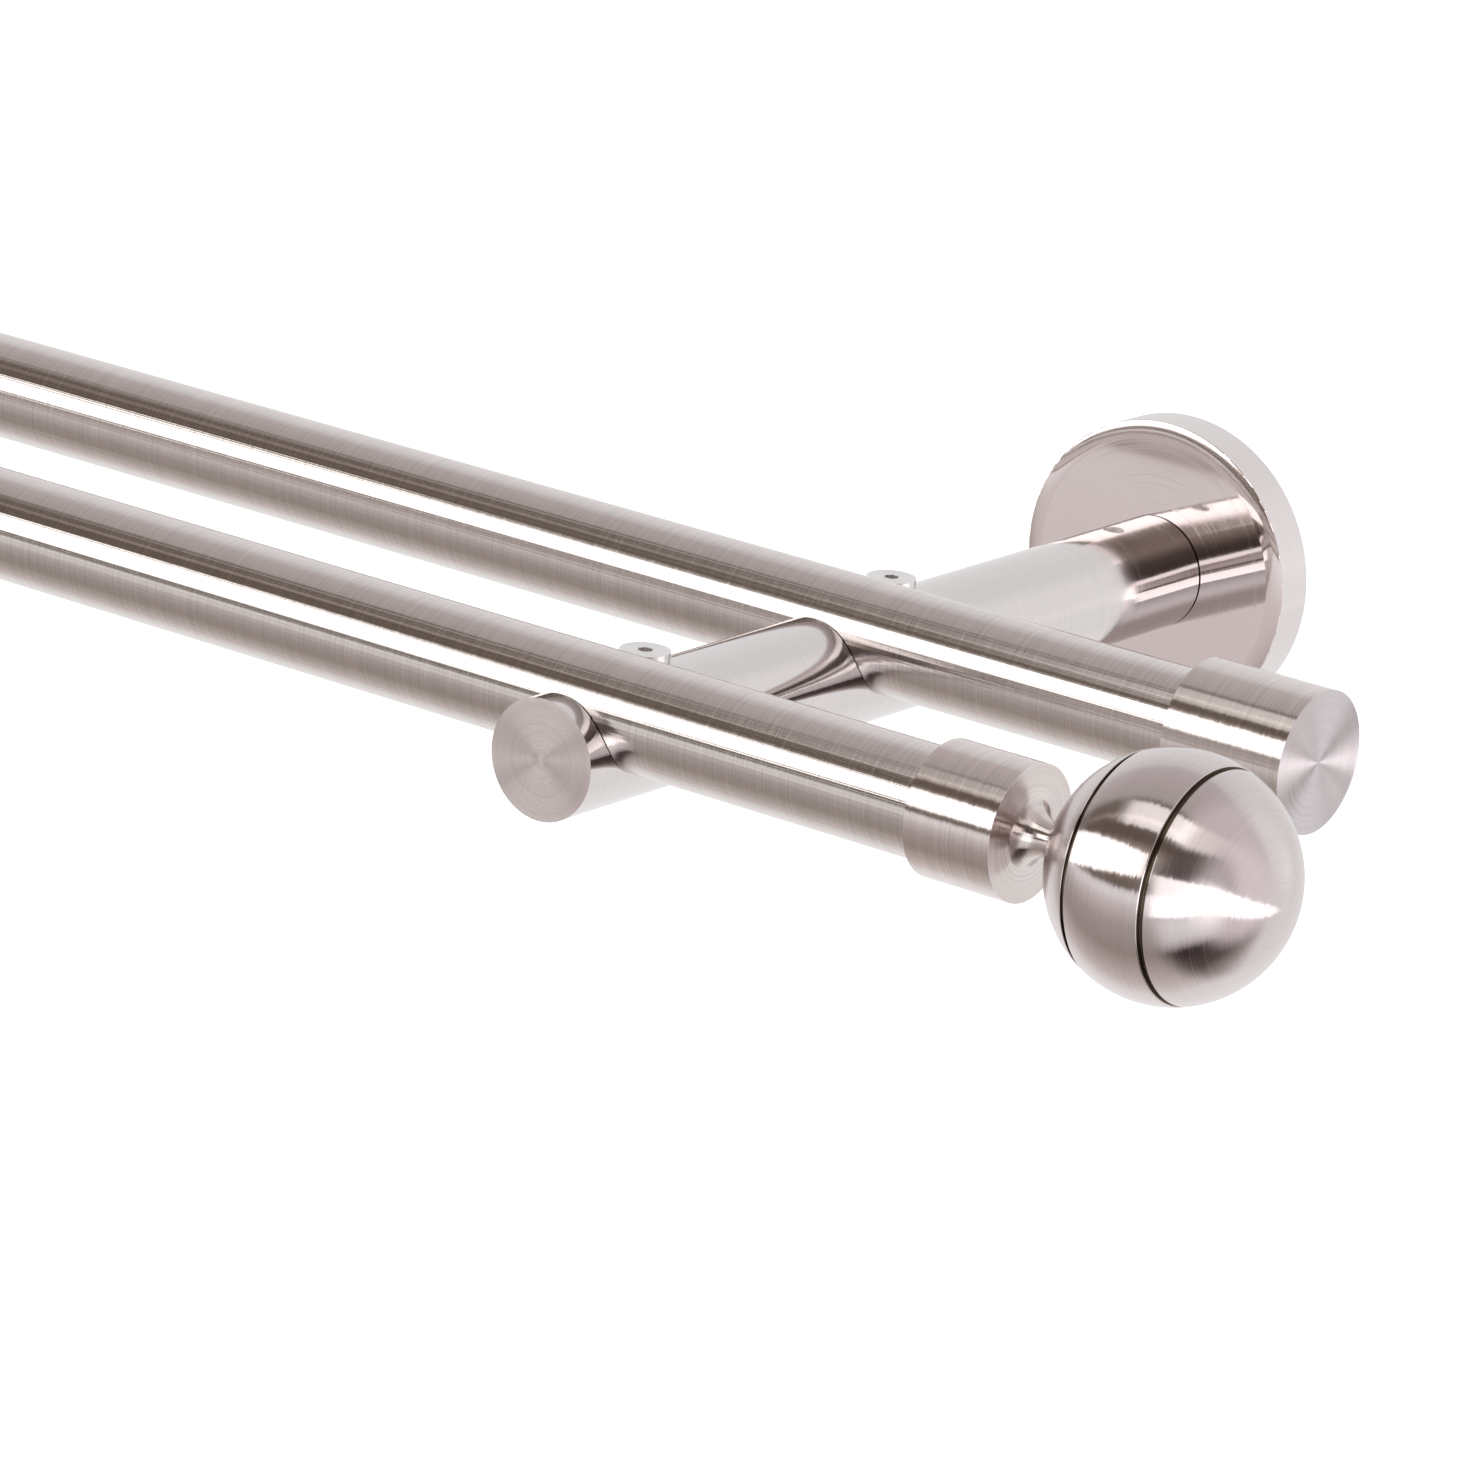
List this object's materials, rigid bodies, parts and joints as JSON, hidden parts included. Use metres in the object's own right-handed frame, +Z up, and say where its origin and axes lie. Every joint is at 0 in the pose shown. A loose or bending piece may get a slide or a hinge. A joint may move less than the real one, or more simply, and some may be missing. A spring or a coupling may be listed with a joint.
{
  "type": "double curtain pole",
  "caption": "Two parallel round steel curtain poles on wall brackets with round rosettes, ball finials in front and plain caps behind.",
  "frame": {"origin": "on the wall plane, midway between the two brackets, at the height of the bracket arms: the centre of the wall screw pattern", "axes": "+X along the poles to the right as seen from the room, +Y into the wall, +Z up"},
  "size_m": [1.3102, 0.204, 0.059],
  "materials": {
    "pole_steel": "satin brushed round the tube",
    "arm_steel": "satin, finely turned",
    "rosette_steel": "turned face, near mirror",
    "finial_steel": "satin turned",
    "cap_steel": "satin turned, faced end",
    "screw_steel": "bright plain",
    "zinc_plated_plate": "dull zinc plated"
  },
  "bodies": {
    "root": {"front_pole": "pole_steel", "rear_pole": "pole_steel", "wall_plate_right": "zinc_plated_plate", "wall_spigot_right": "zinc_plated_plate", "rosette_right": "rosette_steel", "arm_right": "arm_steel", "arm_set_screw_right": "screw_steel", "front_clamp_screw_right": "screw_steel", "rear_clamp_screw_right": "screw_steel", "finial_collar_right": "finial_steel", "finial_ball_right": "finial_steel", "finial_stud_right": "screw_steel", "finial_set_screw_right": "screw_steel", "end_cap_right": "cap_steel", "cap_set_screw_right": "screw_steel", "wall_plate_left": "zinc_plated_plate", "wall_spigot_left": "zinc_plated_plate", "rosette_left": "rosette_steel", "arm_left": "arm_steel", "arm_set_screw_left": "screw_steel", "front_clamp_screw_left": "screw_steel", "rear_clamp_screw_left": "screw_steel", "finial_collar_left": "finial_steel", "finial_ball_left": "finial_steel", "finial_stud_left": "screw_steel", "finial_set_screw_left": "screw_steel", "end_cap_left": "cap_steel", "cap_set_screw_left": "screw_steel"}
  },
  "joints": []
}
